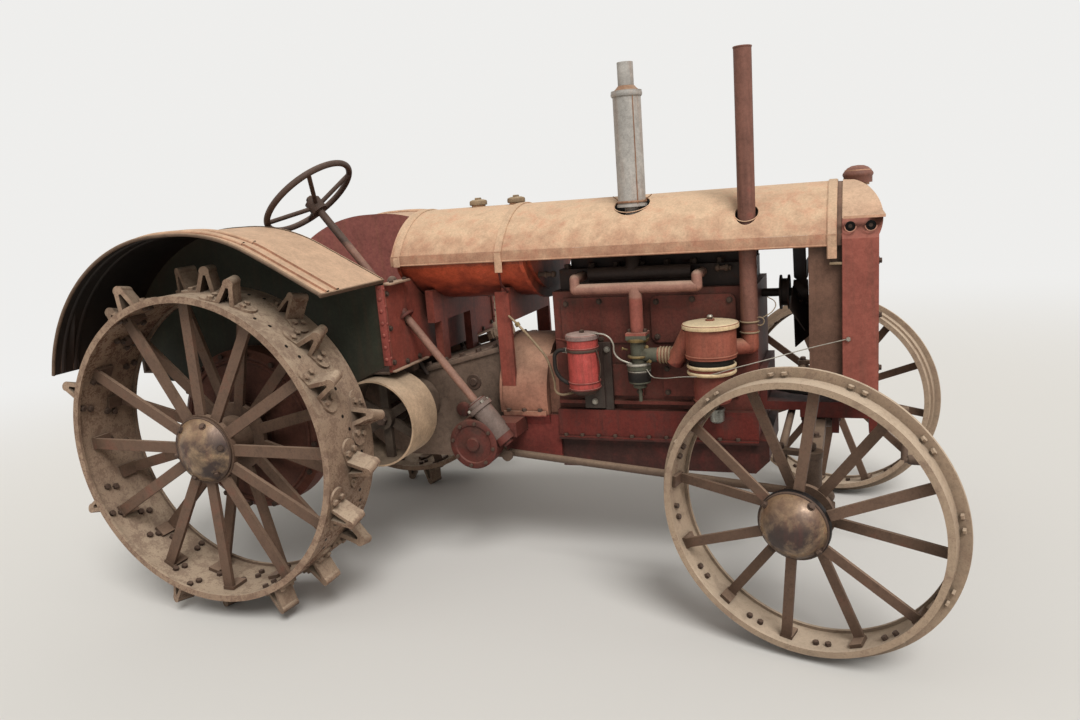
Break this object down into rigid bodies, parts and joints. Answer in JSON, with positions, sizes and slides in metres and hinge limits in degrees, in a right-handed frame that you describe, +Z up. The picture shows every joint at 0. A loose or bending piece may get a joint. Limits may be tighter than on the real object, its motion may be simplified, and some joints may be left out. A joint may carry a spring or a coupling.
{
  "type": "vintage farm tractor",
  "caption": "Standard-tread farm tractor on spoked steel wheels with spade lugs, round hood, fuel tank, belt pulley, air cleaner and stacks; wheels spin and front axle steers.",
  "frame": {"origin": "centre of the bounding box, on the ground", "axes": "+X to the front, +Y to the tractor's left, +Z up"},
  "size_m": [3.085, 1.65, 1.7324],
  "materials": {
    "cast_iron_grey": "oily, dusty",
    "cast_iron_red": "worn red paint over cast iron",
    "sheet_tan": "dusty, faded red-tan sheet",
    "shield_red": "worn red sheet",
    "tank_orange": "orange-red",
    "rust_steel": "brown rust, matt",
    "hub_brown": "brown rust",
    "galvanised": "weathered zinc",
    "stack_brown": "red-brown",
    "manifold_pink": "dusty",
    "carb_grey": "stained alloy",
    "filter_red": "bright red, faded",
    "core_black": "dark finned core",
    "dark_iron": "dark, oily",
    "wood_platform": "worn plate",
    "pulley_tan": "dusty",
    "steering_brown": "worn dark grey-brown"
  },
  "bodies": {
    "chassis": {"transmission_case": "cast_iron_grey", "axle_housings": "hub_brown", "clutch_housing": "manifold_pink", "crankcase": "cast_iron_red", "engine_block": "cast_iron_red", "cylinder_head": "dark_iron", "intake_manifold": "manifold_pink", "exhaust_manifold": "dark_iron", "carburettor": "carb_grey", "air_cleaner": "stack_brown", "intake_stack": "stack_brown", "muffler": "galvanised", "oil_filter": "filter_red", "magneto": "dark_iron", "fuel_tank": "tank_orange", "tank_bracket": "cast_iron_red", "hood": "sheet_tan", "radiator_frame": "cast_iron_red", "radiator_core": "core_black", "front_bolster": "cast_iron_red", "front_axle": "hub_brown", "fender_right": "sheet_tan", "fender_left": "sheet_tan", "platform": "wood_platform", "dash_shield": "shield_red", "seat": "rust_steel", "drawbar": "rust_steel", "steering_box": "cast_iron_red", "starting_crank": "rust_steel"},
    "steering_wheel": {"steering_wheel": "steering_brown"},
    "drop_arm": {"drop_arm": "hub_brown"},
    "drag_link": {"drag_link": "rust_steel"},
    "knuckle_right": {"knuckle_right": "hub_brown"},
    "knuckle_left": {"knuckle_left": "hub_brown"},
    "tie_rod": {"tie_rod": "rust_steel"},
    "front_wheel_right": {"front_rim_right": "rust_steel", "front_hub_right": "hub_brown"},
    "front_wheel_left": {"front_rim_left": "rust_steel", "front_hub_left": "hub_brown"},
    "rear_wheel_right": {"rear_rim_right": "rust_steel", "rear_hub_right": "hub_brown", "rear_axle_right": "dark_iron"},
    "rear_wheel_left": {"rear_rim_left": "rust_steel", "rear_hub_left": "hub_brown", "rear_axle_left": "dark_iron"},
    "belt_pulley": {"belt_pulley": "pulley_tan"},
    "fan": {"fan": "dark_iron"}
  },
  "joints": [
    {"name": "rear_wheel_right_spin", "type": "hinge", "parent": "chassis", "child": "rear_wheel_right", "pos_m": [-0.83498, -0.679, 0.61653], "axis": [0, 1, 0], "continuous": true},
    {"name": "rear_wheel_left_spin", "type": "hinge", "parent": "chassis", "child": "rear_wheel_left", "pos_m": [-0.83498, 0.679, 0.61653], "axis": [0, 1, 0], "continuous": true},
    {"name": "steer", "type": "hinge", "parent": "chassis", "child": "knuckle_right", "pos_m": [1.11871, -0.583, 0.41807], "axis": [0.0317, 0, 0.9995], "range_deg": [-12.6, 43.4]},
    {"name": "steer_left_knuckle", "type": "hinge", "parent": "chassis", "child": "knuckle_left", "pos_m": [1.11871, 0.583, 0.41807], "axis": [0.0317, 0, 0.9995], "range_deg": [-13.6, 44.4]},
    {"name": "front_wheel_right_spin", "type": "hinge", "parent": "knuckle_right", "child": "front_wheel_right", "pos_m": [1.09739, -0.66008, 0.41581], "axis": [0.2664, 0.9634, 0.0282], "continuous": true},
    {"name": "front_wheel_left_spin", "type": "hinge", "parent": "knuckle_left", "child": "front_wheel_left", "pos_m": [1.13983, 0.66008, 0.41446], "axis": [0.2641, 0.9634, -0.045], "continuous": true},
    {"name": "tie_rod_turn", "type": "hinge", "parent": "knuckle_right", "child": "tie_rod", "pos_m": [1.03631, -0.5591, 0.55715], "axis": [0.0317, 0, 0.9995], "range_deg": [-44.4, 13.6]},
    {"name": "drag_link_turn", "type": "hinge", "parent": "knuckle_right", "child": "drag_link", "pos_m": [1.15481, -0.45188, 0.41692], "axis": [0.0317, 0, 0.9995], "range_deg": [-44.4, 13.6]},
    {"name": "drop_arm_swing", "type": "hinge", "parent": "chassis", "child": "drop_arm", "pos_m": [-0.03211, -0.245, 0.50501], "axis": [0, 1, 0], "range_deg": [-15.49, 50.91]},
    {"name": "steering_wheel_turn", "type": "hinge", "parent": "chassis", "child": "steering_wheel", "pos_m": [-0.02049, -0.3, 0.65072], "axis": [-0.5904, 0, 0.8071], "range_deg": [-131, 439]},
    {"name": "belt_pulley_spin", "type": "hinge", "parent": "chassis", "child": "belt_pulley", "pos_m": [-0.32744, -0.403, 0.62544], "axis": [0, 1, 0], "continuous": true},
    {"name": "fan_spin", "type": "hinge", "parent": "chassis", "child": "fan", "pos_m": [1.07611, 0, 0.93608], "axis": [0.9995, 0, -0.0317], "continuous": true}
  ],
  "couplings": [
    {"joint": "steer_left_knuckle", "follows": "steer", "ratio": 1},
    {"joint": "tie_rod_turn", "follows": "steer", "ratio": -1},
    {"joint": "drag_link_turn", "follows": "steer", "ratio": -1},
    {"joint": "drop_arm_swing", "follows": "steer", "ratio": 1.15},
    {"joint": "steering_wheel_turn", "follows": "steer", "ratio": 10}
  ]
}
